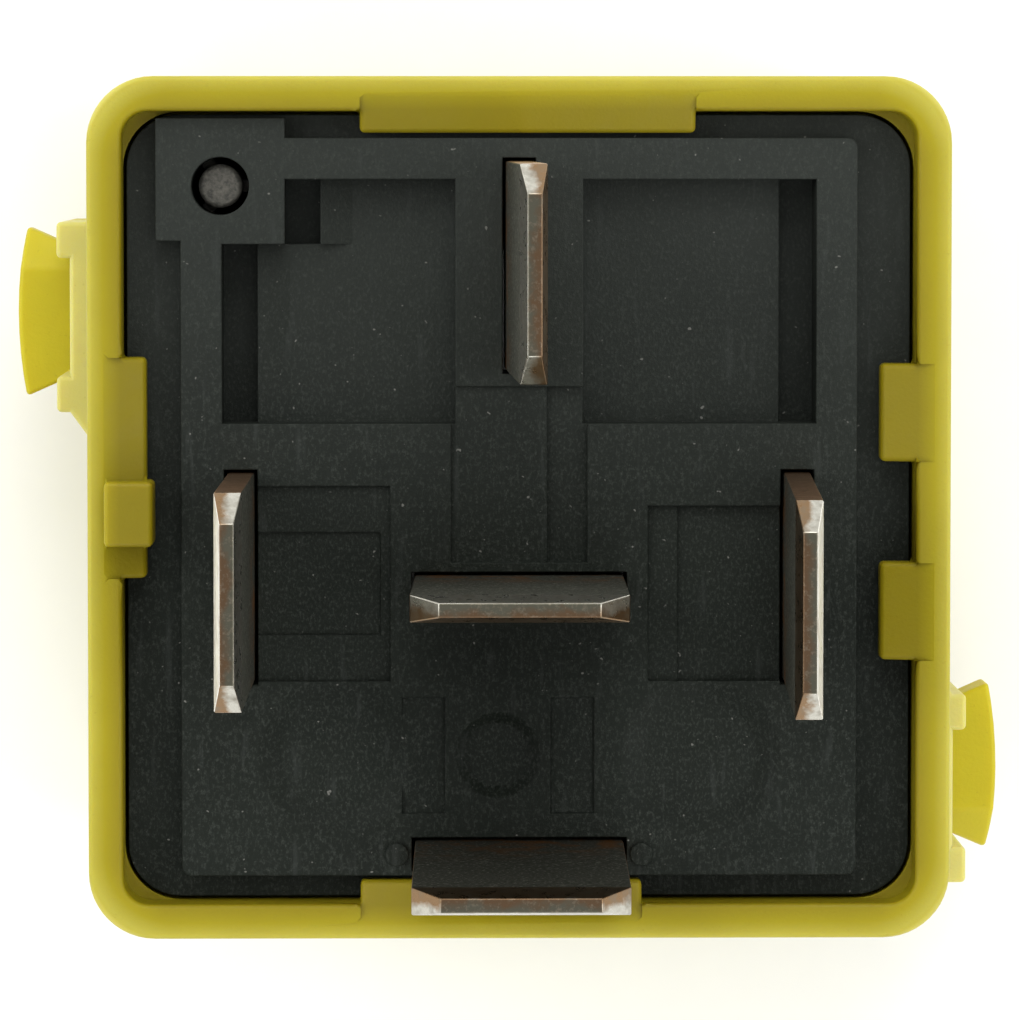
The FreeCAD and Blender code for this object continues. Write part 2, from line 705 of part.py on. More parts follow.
def make_vent_plug():
    top = PLATEAU_Z - VENT_PLUG_DROP
    stem = disc(VENT_PLUG_R, 0, 0, BASE_Z, top, 0, VENT_PLUG_CHAMFER)
    ribs = []
    for number in range(VENT_RIB_COUNT):
        rib = box(0, VENT_R, -VENT_RIB_WIDTH / 2, VENT_RIB_WIDTH / 2, BASE_Z, LEDGE_Z - LEDGE_DROP)
        rib.rotate(Vector(0, 0, 0), UP, number * 360 / VENT_RIB_COUNT)
        ribs.append(rib.common(post(VENT_R, 0, 0, BASE_Z, LEDGE_Z)))
    return fused([stem] + ribs).translated(Vector(VENT_X, VENT_Y, 0))


# Terminals

def section(width, thickness, middle):
    x = width / 2
    y = thickness / 2
    points = [middle + Vector(*corner) for corner in ((-x, -y), (x, -y), (x, y), (-x, y))]
    return Part.makePolygon(points + [points[0]])


def blade(lean, tilt):
    """Blade across X with a bevelled tip, which is bent by lean along Y and by tilt along X."""
    rise = Vector(tilt, lean, BLADE_LENGTH)
    foot = UP * PLATEAU_Z
    shoulder = foot + rise * (1 - TIP_LENGTH / BLADE_LENGTH)
    sections = [
        section(BLADE_WIDTH, BLADE_THICKNESS, foot),
        section(BLADE_WIDTH, BLADE_THICKNESS, shoulder),
        section(BLADE_WIDTH - 2 * TIP_SIDE, TIP_FLAT, foot + rise),
    ]
    tip = Part.makeLoft(sections, True, True)
    root = box(-HALF_BLADE, HALF_BLADE, -HALF_SHEET, HALF_SHEET, BASE_Z, PLATEAU_Z)
    return fused([tip, root])


def upright_blade(x, y, lean, tilt):
    """Blade across Y, whose tip is bent by lean along X and by tilt along Y."""
    shape = blade(-lean, tilt)
    shape.rotate(Vector(0, 0, 0), UP, 90)
    return shape.translated(Vector(x, y, 0))


def make_terminal_30():
    """Blade with a tail folded flat against the back of the yoke."""
    fold_y = YOKE_FACE_Y + HALF_SHEET
    low_z = LEAF_LIMB_START + LEAF_LIMB_LENGTH + FOLD_TO_LEAF
    points = [
        Vector(0, Y_30 + HALF_BLADE, low_z),
        Vector(0, fold_y, low_z),
        Vector(FOLD_REACH, fold_y, low_z),
    ]
    tail = sheet(points, BLADE_THICKNESS, FOLD_BEND_R, UP * (BASE_Z - low_z))
    return fused([upright_blade(0, Y_30, LEAN_30, TILT_30), tail])


def make_coil_terminal(side, lean, tilt):
    """Terminal 86 on the left or 85 on the right, with a narrow solder tail."""
    x = side * COIL_BLADE_SPREAD
    low_y = ROW_Y - HALF_BLADE
    tail = box(x - HALF_SHEET, x + HALF_SHEET, low_y, low_y + COIL_TAIL_WIDTH, COIL_TAIL_Z, BASE_Z)
    return fused([upright_blade(x, ROW_Y, lean, tilt), tail])


def make_terminal_87():
    """Blade whose strip runs straight in and is bent over the moving contact."""
    tab_z = NO_TAB_Z + HALF_SHEET
    half = STRIP_WIDTH / 2
    points = [
        Vector(-half, Y_87, BASE_Z),
        Vector(-half, Y_87, tab_z),
        Vector(-half, CONTACT_Y + CONTACT_R + TAB_OVERHANG, tab_z),
    ]
    strip = sheet(points, BLADE_THICKNESS, STRIP_BEND_R, Vector(STRIP_WIDTH, 0, 0))
    return fused([blade(LEAN_87, TILT_87).translated(Vector(0, Y_87, 0)), strip])


def strip_87a_sides():
    left = STRIP_WIDTH / 2 + STRIP_GAP
    return left, left + STRIP_WIDTH


def make_terminal_87a():
    """Blade whose strip runs under the base and down beside 87, to a tab below the contact."""
    left = strip_87a_sides()[0]
    run_z = BASE_Z + HALF_SHEET
    tab_z = NC_TAB_Z + HALF_SHEET
    tab_low = CONTACT_Y - CONTACT_R - TAB_OVERHANG
    tab_high = CONTACT_Y + CONTACT_R + TAB_OVERHANG
    points = [
        Vector(left, Y_87A - STRIP_BEND_R, run_z),
        Vector(left, STRIP_87A_Y, run_z),
        Vector(left, STRIP_87A_Y, tab_z),
        Vector(left, tab_low, tab_z),
    ]
    strip = sheet(points, BLADE_THICKNESS, STRIP_BEND_R, Vector(STRIP_WIDTH, 0, 0))
    strip_top = BASE_Z + BLADE_THICKNESS + STRIP_BEND_R
    wide_points = [
        Vector(-HALF_BLADE, Y_87A, strip_top),
        Vector(-HALF_BLADE, Y_87A, run_z),
        Vector(-HALF_BLADE, Y_87A - WIDE_STRIP_LENGTH, run_z),
    ]
    wide = sheet(wide_points, BLADE_THICKNESS, STRIP_BEND_R, Vector(BLADE_WIDTH, 0, 0))
    root = box(-HALF_BLADE, HALF_BLADE, -HALF_SHEET, HALF_SHEET, BASE_Z, strip_top)
    tip = blade(LEAN_87A, TILT_87A).cut(root)
    half_tab = CONTACT_R + TAB_OVERHANG
    tab = box(-half_tab, left, tab_low, tab_high, NC_TAB_Z, NC_TAB_Z + BLADE_THICKNESS)
    return fused([tip.translated(Vector(0, Y_87A, 0)), strip, wide, tab])


# Magnet

def make_yoke():
    middle_y = YOKE_FACE_Y - YOKE_THICKNESS / 2
    middle_z = FOOT_Z + YOKE_THICKNESS / 2
    half = YOKE_WIDTH / 2
    end_y = COIL_Y - YOKE_FOOT_REACH
    points = [
        Vector(-half, end_y, middle_z),
        Vector(-half, middle_y, middle_z),
        Vector(-half, middle_y, POLE_Z),
    ]
    plate = sheet(points, YOKE_THICKNESS, YOKE_BEND_R, Vector(YOKE_WIDTH, 0, 0))
    corners = [edge for edge in plate.Edges
               if all(abs(v.Y - end_y) < 1e-6 for v in edge.Vertexes)
               and abs(edge.Vertexes[0].Z - edge.Vertexes[-1].Z) > YOKE_THICKNESS / 2]
    plate = plate.makeFillet(YOKE_FOOT_CORNER_R, corners)
    holes = [post(CORE_R, 0, COIL_Y, FOOT_Z, FOOT_TOP_Z)]
    for side in (-1, 1):
        start = Vector(side * YOKE_RIVET_SPREAD, YOKE_FACE_Y - YOKE_THICKNESS, RIVET_Z)
        holes.append(Part.makeCylinder(RIVET_R, YOKE_THICKNESS, start, Vector(0, 1, 0)))
    return plate.cut(holes)


def make_core():
    pole = post(POLE_R, 0, COIL_Y, POLE_Z, BOBBIN_Z)
    shank = post(CORE_R, 0, COIL_Y, BOBBIN_Z, FOOT_TOP_Z)
    swage = post(SWAGE_R, 0, COIL_Y, FOOT_TOP_Z, FOOT_TOP_Z + SWAGE_HEIGHT)
    return fused([pole, shank, swage])


def make_bobbin():
    low = BOBBIN_Z
    high = FOOT_Z
    barrel = post(BARREL_R, 0, COIL_Y, low, high)
    flanges = [
        post(FLANGE_R, 0, COIL_Y, low, low + FLANGE_THICKNESS),
        post(FLANGE_R, 0, COIL_Y, high - FLANGE_THICKNESS, high),
    ]
    wings = []
    wing_x = FLANGE_R + WING_REACH
    wing_low = ROW_Y - HALF_BLADE + COIL_TAIL_WIDTH
    for x0, x1 in ((-wing_x, -CORE_R), (CORE_R, wing_x)):
        wings.append(box(x0, x1, wing_low, wing_low + WING_WIDTH, high - FLANGE_THICKNESS, high))
    bore = post(CORE_R + BOBBIN_BORE_CLEARANCE, 0, COIL_Y, low, high)
    return fused([barrel] + flanges + wings).cut(bore)


def make_coil_winding():
    low = BOBBIN_Z + FLANGE_THICKNESS
    high = FOOT_Z - FLANGE_THICKNESS
    return post(COIL_R, 0, COIL_Y, low, high).cut(post(BARREL_R, 0, COIL_Y, low, high))


# Armature and contacts

def make_armature():
    half = ARMATURE_WIDTH / 2
    half_heel = HEEL_WIDTH / 2
    end_y = COIL_Y - FLANGE_R + ARMATURE_INSET
    cheek_y = YOKE_FACE_Y - HEEL_LENGTH
    plate = prism([
        (-half, end_y),
        (half, end_y),
        (half, cheek_y),
        (half_heel, cheek_y),
        (half_heel, YOKE_FACE_Y),
        (-half_heel, YOKE_FACE_Y),
        (-half_heel, cheek_y),
        (-half, cheek_y),
    ], ARMATURE_Z, PIVOT_Z)
    corners = [edge for edge in plate.Edges
               if all(abs(v.Y - end_y) < 1e-6 for v in edge.Vertexes)
               and abs(edge.Vertexes[0].Z - edge.Vertexes[-1].Z) > ARMATURE_THICKNESS / 2]
    plate = plate.makeFillet(ARMATURE_CORNER_R, corners)
    holes = [post(RIVET_R, side * ARMATURE_RIVET_SPREAD, ARMATURE_RIVET_Y, ARMATURE_Z, PIVOT_Z)
             for side in (-1, 1)]
    return at_rest(plate.cut(holes))


def make_armature_rivets():
    head_z = LEAF_Z - RIVET_HEAD_THICKNESS
    rivets = []
    for side in (-1, 1):
        x = side * ARMATURE_RIVET_SPREAD
        shank = post(RIVET_R, x, ARMATURE_RIVET_Y, LEAF_Z, PIVOT_Z - AIR_GAP)
        head = post(RIVET_HEAD_R, x, ARMATURE_RIVET_Y, head_z, LEAF_Z)
        rivets.append(fused([shank, head]))
    return at_rest(Part.makeCompound(rivets))


def make_contact_spring():
    """Leaf that hangs the armature on the yoke and carries the moving contact."""
    leaf_y = YOKE_FACE_Y + LEAF_SEAT_GAP + LEAF_THICKNESS / 2
    leaf_z = LEAF_Z + LEAF_THICKNESS / 2
    loop_y = leaf_y + LEAF_LOOP_BULGE
    limb_top = LEAF_LIMB_START + LEAF_LIMB_LENGTH
    tip_y = CONTACT_Y - CONTACT_R - TAB_OVERHANG
    neck_y = CONTACT_Y + CONTACT_R + TAB_OVERHANG
    half_width = LEAF_WIDTH / 2
    half_tip = LEAF_TIP_WIDTH / 2
    half_loop = LEAF_LOOP_WIDTH / 2
    points = [
        Vector(0, leaf_y, limb_top),
        Vector(0, leaf_y, LEAF_LIMB_START),
        Vector(0, loop_y, LEAF_LIMB_START - LEAF_LOOP_BULGE),
        rest_point(loop_y, leaf_z),
        rest_point(tip_y, leaf_z),
    ]
    points = [Vector(-half_width, point.y, point.z) for point in points]
    strip = sheet(points, LEAF_THICKNESS, LEAF_LOOP_R, Vector(LEAF_WIDTH, 0, 0))
    shoulder_y = neck_y + half_width - half_tip
    heel_y = YOKE_FACE_Y - HEEL_LENGTH
    right_side = [
        (half_tip, tip_y - LEAF_THICKNESS),
        (half_tip, neck_y),
        (half_width, shoulder_y),
        (half_width, heel_y - half_width + half_loop),
        (half_loop, heel_y),
        (half_loop, loop_y + LEAF_LOOP_BULGE),
    ]
    outline = right_side + [(-x, y) for x, y in reversed(right_side)]
    leaf = strip.common(prism(outline, 0, limb_top))
    half_slot = LEAF_SLOT_WIDTH / 2
    cuts = [box(-half_slot, half_slot, YOKE_FACE_Y - HEEL_LENGTH / 2, loop_y + LEAF_LOOP_BULGE,
                LEAF_Z - RIVET_HEAD_THICKNESS, LEAF_LIMB_START)]
    hole_r = RIVET_R + RIVET_CLEARANCE
    for side in (-1, 1):
        cuts.append(Part.makeCylinder(hole_r, YOKE_THICKNESS,
                                      Vector(side * YOKE_RIVET_SPREAD, YOKE_FACE_Y, RIVET_Z),
                                      Vector(0, 1, 0)))
        cuts.append(at_rest(post(RIVET_R, side * ARMATURE_RIVET_SPREAD, ARMATURE_RIVET_Y,
                                 LEAF_Z - LEAF_THICKNESS, ARMATURE_Z + LEAF_THICKNESS)))
    cuts.append(at_rest(post(CONTACT_SHANK_R, 0, CONTACT_Y, LEAF_Z - LEAF_THICKNESS,
                             ARMATURE_Z + LEAF_THICKNESS)))
    return leaf.cut(cuts)


def make_yoke_rivets():
    head_y = YOKE_FACE_Y + 2 * LEAF_SEAT_GAP + LEAF_THICKNESS
    length = head_y - YOKE_FACE_Y + YOKE_THICKNESS
    rivets = []
    for side in (-1, 1):
        x = side * YOKE_RIVET_SPREAD
        shank = post(RIVET_R, 0, 0, -length, 0)
        head = post(RIVET_HEAD_R, 0, 0, 0, RIVET_HEAD_THICKNESS)
        rivet = fused([shank, head])
        rivet.rotate(Vector(0, 0, 0), Vector(1, 0, 0), -90)
        rivets.append(rivet.translated(Vector(x, head_y, RIVET_Z)))
    return Part.makeCompound(rivets)


def contact_head(z, direction):
    """Domed contact head that starts at z and points along +Z or -Z."""
    dome = []
    for share in CONTACT_DOME_RINGS:
        radius = share * CONTACT_R
        drop = CONTACT_DOME_R - math.sqrt(CONTACT_DOME_R ** 2 - radius ** 2)
        dome.append(Vector(radius, 0, CONTACT_THICKNESS - drop))
    top = Vector(0, 0, dome[0].z)
    head = turned([Vector(0, 0, 0), Vector(CONTACT_R, 0, 0)] + dome[::-1] + [top])
    if direction < 0:
        head.rotate(Vector(0, 0, 0), Vector(1, 0, 0), 180)
    return head.translated(Vector(0, CONTACT_Y, z))


def make_moving_contact():
    shank = post(CONTACT_SHANK_R, 0, CONTACT_Y, LEAF_Z, ARMATURE_Z)
    return at_rest(fused([shank, contact_head(ARMATURE_Z, 1), contact_head(LEAF_Z, -1)]))


def make_fixed_contact_no():
    return disc(CONTACT_R, 0, CONTACT_Y, NO_FACE_Z, NO_TAB_Z, CONTACT_CHAMFER)


def make_fixed_contact_nc():
    low = NC_FACE_Z - CONTACT_THICKNESS
    return disc(CONTACT_R, 0, CONTACT_Y, low, NC_FACE_Z, 0, CONTACT_CHAMFER)


# Resistor and wires

def make_resistor_body():
    """Axial resistor with a thinner waist between its end caps."""
    half = RESISTOR_LENGTH / 2
    waist = half - RESISTOR_CAP_LENGTH
    step = RESISTOR_R - RESISTOR_WAIST_R
    body = turned([
        Vector(0, 0, -half),
        Vector(RESISTOR_R, 0, -half),
        Vector(RESISTOR_R, 0, -waist),
        Vector(RESISTOR_WAIST_R, 0, step - waist),
        Vector(RESISTOR_WAIST_R, 0, waist - step),
        Vector(RESISTOR_R, 0, waist),
        Vector(RESISTOR_R, 0, half),
        Vector(0, 0, half),
    ])
    body.rotate(Vector(0, 0, 0), Vector(0, 1, 0), 90)
    return body.translated(Vector(0, RESISTOR_Y, RESISTOR_Z))


def make_resistor_leads():
    tail_y = ROW_Y - HALF_BLADE + COIL_TAIL_WIDTH
    bend_x = COIL_BLADE_SPREAD - HALF_SHEET - RESISTOR_LEAD_R
    leads = []
    for side in (-1, 1):
        leads.append(wire_along([
            Vector(side * RESISTOR_LENGTH / 2, RESISTOR_Y, RESISTOR_Z),
            Vector(side * bend_x, RESISTOR_Y, RESISTOR_Z),
            Vector(side * bend_x, tail_y, RESISTOR_Z),
        ], RESISTOR_LEAD_R, LEAD_BEND_R))
    return Part.makeCompound(leads)


def make_coil_lead(side):
    """Wire from the winding to the solder tail of a coil terminal."""
    angle = math.radians(COIL_LEAD_ANGLE)
    radius = COIL_R + COIL_LEAD_R
    start_z = FOOT_Z - FLANGE_THICKNESS - COIL_LEAD_DROP
    tail_x = COIL_BLADE_SPREAD - HALF_SHEET - COIL_LEAD_R
    tail_y = ROW_Y - HALF_BLADE + COIL_TAIL_WIDTH / 2
    return wire_along([
        Vector(side * radius * math.cos(angle), COIL_Y - radius * math.sin(angle), start_z),
        Vector(side * tail_x, tail_y, start_z),
        Vector(side * tail_x, tail_y, start_z - COIL_LEAD_RUN),
    ], COIL_LEAD_R, COIL_LEAD_BEND_R)


PIECES = {
    "cover": make_cover(),
    "base": make_base(),
    "vent_plug": make_vent_plug(),
    "terminal_30": make_terminal_30(),
    "terminal_85": make_coil_terminal(1, LEAN_85, TILT_85),
    "terminal_86": make_coil_terminal(-1, LEAN_86, TILT_86),
    "terminal_87": make_terminal_87(),
    "terminal_87a": make_terminal_87a(),
    "yoke": make_yoke(),
    "core": make_core(),
    "bobbin": make_bobbin(),
    "coil_winding": make_coil_winding(),
    "coil_lead_85": make_coil_lead(1),
    "coil_lead_86": make_coil_lead(-1),
    "resistor_body": make_resistor_body(),
    "resistor_leads": make_resistor_leads(),
    "armature": make_armature(),
    "armature_rivets": make_armature_rivets(),
    "contact_spring": make_contact_spring(),
    "yoke_rivets": make_yoke_rivets(),
    "moving_contact": make_moving_contact(),
    "fixed_contact_no": make_fixed_contact_no(),
    "fixed_contact_nc": make_fixed_contact_nc(),
}

for name, shape in PIECES.items():
    shape.exportStep("parts/" + name + ".step")
    print(name, "solids", len(shape.Solids), "valid", shape.isValid(), "volume", round(shape.Volume, 2))

print("pivot", [round(value, 4) for value in PIVOT], "open angle", round(math.degrees(OPEN_ANGLE), 3))
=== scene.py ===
# Looks of the changeover relay: finishes, rounded edges, winding, floor, light and camera.
# Everything is in metres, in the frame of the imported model: the cover's closed end is on Z = 0
# and the blades point along +Z. Textures and the flat regions of meshes are laid out in mm.

import contextlib
import itertools
import json
import math

import bmesh
import bpy
from mathutils import Matrix, Vector
from mathutils.geometry import delaunay_2d_cdt, intersect_point_tri_2d

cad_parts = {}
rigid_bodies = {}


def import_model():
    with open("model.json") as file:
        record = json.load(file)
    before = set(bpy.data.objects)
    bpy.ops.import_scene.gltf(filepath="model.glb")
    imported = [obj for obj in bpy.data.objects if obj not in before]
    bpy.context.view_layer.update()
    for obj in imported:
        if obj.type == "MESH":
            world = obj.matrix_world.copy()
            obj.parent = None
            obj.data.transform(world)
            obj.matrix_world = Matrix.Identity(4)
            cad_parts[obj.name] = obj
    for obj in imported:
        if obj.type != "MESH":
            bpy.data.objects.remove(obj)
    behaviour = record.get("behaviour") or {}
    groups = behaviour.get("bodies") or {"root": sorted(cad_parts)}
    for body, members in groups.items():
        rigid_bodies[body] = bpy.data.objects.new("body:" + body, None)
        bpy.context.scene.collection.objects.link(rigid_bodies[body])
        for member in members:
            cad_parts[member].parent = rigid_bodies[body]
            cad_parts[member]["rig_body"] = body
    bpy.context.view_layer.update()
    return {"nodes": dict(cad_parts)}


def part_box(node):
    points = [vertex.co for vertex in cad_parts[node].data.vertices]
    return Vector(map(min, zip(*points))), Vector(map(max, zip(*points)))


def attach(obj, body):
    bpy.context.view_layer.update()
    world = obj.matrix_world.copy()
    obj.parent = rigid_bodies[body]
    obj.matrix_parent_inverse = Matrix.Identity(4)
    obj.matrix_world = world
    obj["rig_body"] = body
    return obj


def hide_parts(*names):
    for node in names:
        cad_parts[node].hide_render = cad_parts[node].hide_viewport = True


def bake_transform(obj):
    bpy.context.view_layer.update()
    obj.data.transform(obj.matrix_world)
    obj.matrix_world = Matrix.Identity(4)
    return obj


MM = 0.001

# Camera: above the blades and a little towards terminal 30
CAMERA_PLACE = Vector((-3.6, 10.8, 214.6)) * MM
CAMERA_TARGET = Vector((-0.29, -0.03, 25.2)) * MM
CAMERA_FOCAL_MM = 222.6
CAMERA_SENSOR_MM = 36.0
CAMERA_NEAR = 0.01

# Widths and segments of the rounding along the edges
COVER_EDGE = 0.15 * MM
BASE_EDGE = 0.045 * MM
METAL_EDGE = 0.05 * MM
COVER_SEGMENTS = 3
OTHER_SEGMENTS = 2

# Outer edges that bend by more than this are rounded
BEVEL_ANGLE = math.radians(20)
# Wide faces that bend by more than this are shaded apart
SHARP_ANGLE = math.radians(13)
# A rounding's own strips are shaded into faces that bend by less than this
ROUND_ANGLE = math.radians(60)
# Faces that bend by less than this make one flat region
FLAT_ANGLE = math.radians(0.05)
# Edges that meet at less than this stay sharp
NARROW_CORNER = math.radians(25)
# Faces narrower than this many widths of the rounding keep their sharp edges
NARROW_FACE = 2.4
# Flat regions narrower than this many widths of the rounding are its own strips
ROUNDING_STRIP = 1.2

# Vertices closer than this are one
SAME_PLACE = 1e-7

# Grid of points that fills flat faces, in mm
GRID_STEP = 1.2
GRID_CLEARANCE = 0.4
GRID_PRECISION = 1e-7

# Where the rounding of the cover's corners starts, in mm from its middle
CORNER_START = 10.4

# The terminals: which axis the broad faces of their blades look along
BROAD_AXIS = {
    "terminal_30": 0,
    "terminal_85": 0,
    "terminal_86": 0,
    "terminal_87": 1,
    "terminal_87a": 1,
}
TIP_LENGTH = 1.0 * MM

# On which side of its thickness the end of each blade shows the bare alloy
BARE_SIDE = {
    "terminal_30": 1,
    "terminal_85": -1,
    "terminal_86": -1,
    "terminal_87": 1,
    "terminal_87a": -1,
}

# The blades with a painted highlight on the long bevel that faces a side light, and on which side
# that is
HIGHLIGHT_SIDE = {"terminal_85": 1, "terminal_86": -1}

# Material slots of a terminal, the last for the painted highlight, and how squarely a face looks
# along an axis to count as one
TIN, EDGE, BEVEL, END, HIGHLIGHT = range(5)
EDGE_FACING = 0.7
END_FACING = 0.98
HIGHLIGHT_FACING = 0.3

# Heights in mm where the brown stains at the roots of the blades start, and fade out
ROOT_STAIN_START = 23.0
ROOT_STAIN_LOW = 24.8
ROOT_STAIN_HIGH = 29.5

# Winding: inner radius as a share of the outer one, and the outline of one turn, as shares of
# the pitch outwards and along the coil
WINDING_TURNS = 44
WINDING_SEGMENTS = 80
WINDING_INNER = 0.55
TURN_OUTLINE = [(-1 / 3, 0.05), (-1 / 12, 0.25), (0.0, 0.5), (-1 / 12, 0.75)]

# Strength of the room's light at the sides and overhead, and the upward parts of the
# direction between which it changes
ROOM_LIGHT = 0.75
OVERHEAD_LIGHT = 0.85
OVERHEAD_START = 0.55
OVERHEAD_FULL = 0.95

# Softboxes: name, shares of the reach along X and Y, and power in watts
SOFTBOX_REACH = 0.5
SOFTBOX_HEIGHT = 0.42
SOFTBOX_SIZE = 0.45
SOFTBOX_TARGET = Vector((0, 0, 0.02))
SOFTBOXES = [("left", -1.0, 0.3, 1.8), ("top", 0.1, 1.0, 1.7), ("right", 1.0, -0.1, 1.3),
             ("bottom", 0.2, -1.0, 0.9)]

FLOOR_SIZE = 4.0

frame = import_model()
nodes = frame["nodes"]


# Shader nodes

def set_input(tree, socket, value):
    """Links an output to a socket, or sets the socket to a constant."""
    if isinstance(value, bpy.types.NodeSocket):
        tree.links.new(value, socket)
    else:
        socket.default_value = value


def add_node(tree, kind, inputs=None, **settings):
    """Adds a shader node; inputs maps a socket's name or number to a value or an output."""
    node = tree.nodes.new("ShaderNode" + kind)
    for name, value in settings.items():
        setattr(node, name, value)
    for name, value in (inputs or {}).items():
        set_input(tree, node.inputs[name], value)
    return node


def object_space(tree, stretch=(1, 1, 1)):
    """Coordinates of the piece in millimetres."""
    coordinates = add_node(tree, "TexCoord").outputs["Object"]
    scale = [value / MM for value in stretch]
    return add_node(tree, "Mapping", {"Vector": coordinates, "Scale": scale}).outputs["Vector"]


def axis_part(tree, vector, axis):
    """One part of a vector, by the number or the letter of its axis."""
    return add_node(tree, "SeparateXYZ", {0: vector}).outputs[axis]


def noise(tree, space, scale, detail=3.0, roughness=0.55):
    inputs = {"Vector": space, "Scale": scale, "Detail": detail, "Roughness": roughness}
    return add_node(tree, "TexNoise", inputs).outputs["Fac"]


def ramp(tree, value, low, high, start=0.0, end=1.0):
    """Maps value from low..high to start..end and holds it there."""
    inputs = {"Value": value, "From Min": low, "From Max": high, "To Min": start, "To Max": end}
    return add_node(tree, "MapRange", inputs).outputs["Result"]


def blend_colors(tree, share, first, second):
    """Mixes two colours; the sockets of a colour mix are 0 for the share, 6 and 7."""
    return add_node(tree, "Mix", {0: share, 6: first, 7: second}, data_type="RGBA").outputs[2]


def combine(tree, operation, first, second):
    return add_node(tree, "Math", {0: first, 1: second}, operation=operation).outputs[0]


def rgb(red, green, blue):
    return (red, green, blue, 1.0)


def new_material(name, **constants):
    """A material with a Principled shader whose constants are set on its own sockets."""
    material = bpy.data.materials.new(name)
    material.use_nodes = True
    shader = material.node_tree.nodes["Principled BSDF"]
    for socket, value in constants.items():
        shader.inputs[socket.replace("_", " ")].default_value = value
    return material, material.node_tree


def finish_surface(tree, color, roughness, height, depth):
    """Gives the shader its colour and roughness, and a bump of the given depth in metres."""
    shader = tree.nodes["Principled BSDF"]
    bump = add_node(tree, "Bump", {"Height": height, "Strength": 1.0, "Distance": depth})
    tree.links.new(color, shader.inputs["Base Color"])
    tree.links.new(roughness, shader.inputs["Roughness"])
    tree.links.new(bump.outputs["Normal"], shader.inputs["Normal"])


# Materials

def distance_out(tree, space):
    """Distance in mm from the middle of the cover to its outline through a point."""
    flat = add_node(tree, "VectorMath", {0: space, 1: (1, 1, 0)}, operation="MULTIPLY")
    spread = add_node(tree, "VectorMath", {0: flat.outputs["Vector"]}, operation="ABSOLUTE")
    past = add_node(tree, "VectorMath", {0: spread.outputs["Vector"], 1: (CORNER_START,) * 3},
                    operation="SUBTRACT")
    corner = add_node(tree, "VectorMath", {0: past.outputs["Vector"], 1: (0, 0, 0)},
                      operation="MAXIMUM")
    length = add_node(tree, "VectorMath", {0: corner.outputs["Vector"]}, operation="LENGTH")
    return combine(tree, "ADD", length.outputs["Value"], CORNER_START)


def yellow_plastic():
    """Satin translucent plastic, with painted shade along the rim's inner edge, a painted
    highlight towards its outer edges and a painted glow in the thin rails.
    """
    material, tree = new_material(
        "cover_yellow", IOR=1.5, Specular_IOR_Level=0.25, Subsurface_Weight=0.4,
        Subsurface_Scale=1.0 * MM, Subsurface_Radius=(1.0, 0.72, 0.1))
    space = object_space(tree)
    outward = distance_out(tree, space)
    # Painted shading across the rim: painted shade along its inner edge, lightening to a painted
    # highlight at its outer edge.
    color = blend_colors(tree, ramp(tree, outward, 12.0, 12.5),
                         rgb(0.236, 0.188, 0.0026), rgb(0.330, 0.276, 0.0036))
    color = blend_colors(tree, ramp(tree, outward, 12.5, 12.95), color,
                         rgb(0.428, 0.386, 0.0500))
    # Painted glow of light shining through the thin rails, palest up in the ribs.
    rails_painted_glow = blend_colors(tree, ramp(tree, axis_part(tree, space, "Z"), 7.0, 9.5),
                         rgb(0.500, 0.428, 0.0120), rgb(0.590, 0.545, 0.1650))
    color = blend_colors(tree, ramp(tree, outward, 13.05, 13.35), color, rails_painted_glow)
    clouds = noise(tree, space, 0.35, 4.0)
    color = blend_colors(tree, ramp(tree, clouds, 0.35, 0.68, 0.0, 0.12), color,
                         rgb(0.20, 0.155, 0.004))
    specks = noise(tree, space, 7.0, 2.0)
    color = blend_colors(tree, ramp(tree, specks, 0.66, 0.78, 0.0, 0.25), color,
                         rgb(0.24, 0.19, 0.015))
    roughness = ramp(tree, noise(tree, space, 1.6), 0.3, 0.7, 0.42, 0.56)
    finish_surface(tree, color, roughness, noise(tree, space, 9.0, 4.0), 0.012 * MM)
    return material


def black_plastic():
    """Dark glass-filled plastic, paler towards +Y, with fibres, streaks and dust."""
    material, tree = new_material("base_black", IOR=1.5, Specular_IOR_Level=0.1)
    space = object_space(tree)
    clouds = noise(tree, space, 0.22, 3.0)
    color = blend_colors(tree, ramp(tree, clouds, 0.35, 0.65),
                         rgb(0.0056, 0.0080, 0.0056), rgb(0.0092, 0.0122, 0.0090))
    # The colour grows paler towards +Y.
    paler_towards_plus_y = ramp(tree, axis_part(tree, space, "Y"), -2.0, 8.5, 0.08, 0.62)
    color = blend_colors(tree, paler_towards_plus_y, color, rgb(0.0340, 0.0380, 0.0340))
    fibres = noise(tree, object_space(tree, (1.6, 1.0, 1.0)), 7.5, 4.0, 0.75)
    color = blend_colors(tree, ramp(tree, fibres, 0.50, 0.74), color,
                         rgb(0.040, 0.046, 0.039))
    streaks = noise(tree, object_space(tree, (1.0, 0.12, 1.0)), 2.6, 3.0, 0.6)
    color = blend_colors(tree, ramp(tree, streaks, 0.60, 0.72, 0.0, 0.35), color,
                         rgb(0.040, 0.045, 0.041))
    dust = noise(tree, space, 5.5, 1.0, 0.4)
    color = blend_colors(tree, ramp(tree, dust, 0.765, 0.81, 0.0, 0.8), color,
                         rgb(0.16, 0.16, 0.145))
    roughness = ramp(tree, noise(tree, space, 0.9, 3.0), 0.35, 0.65, 0.42, 0.60)
    height = combine(tree, "ADD", noise(tree, space, 11.0, 3.0), fibres)
    finish_surface(tree, color, roughness, height, 0.02 * MM)
    return material


def plug_plastic():
    """Porous grey filter plug."""
    material, tree = new_material("plug_grey", IOR=1.45)
    grain = noise(tree, object_space(tree), 6.0, 4.0, 0.7)
    color = blend_colors(tree, ramp(tree, grain, 0.35, 0.65),
                         rgb(0.030, 0.029, 0.024), rgb(0.105, 0.100, 0.083))
    finish_surface(tree, color, ramp(tree, grain, 0.3, 0.7, 0.6, 0.85), grain, 0.05 * MM)
    return material


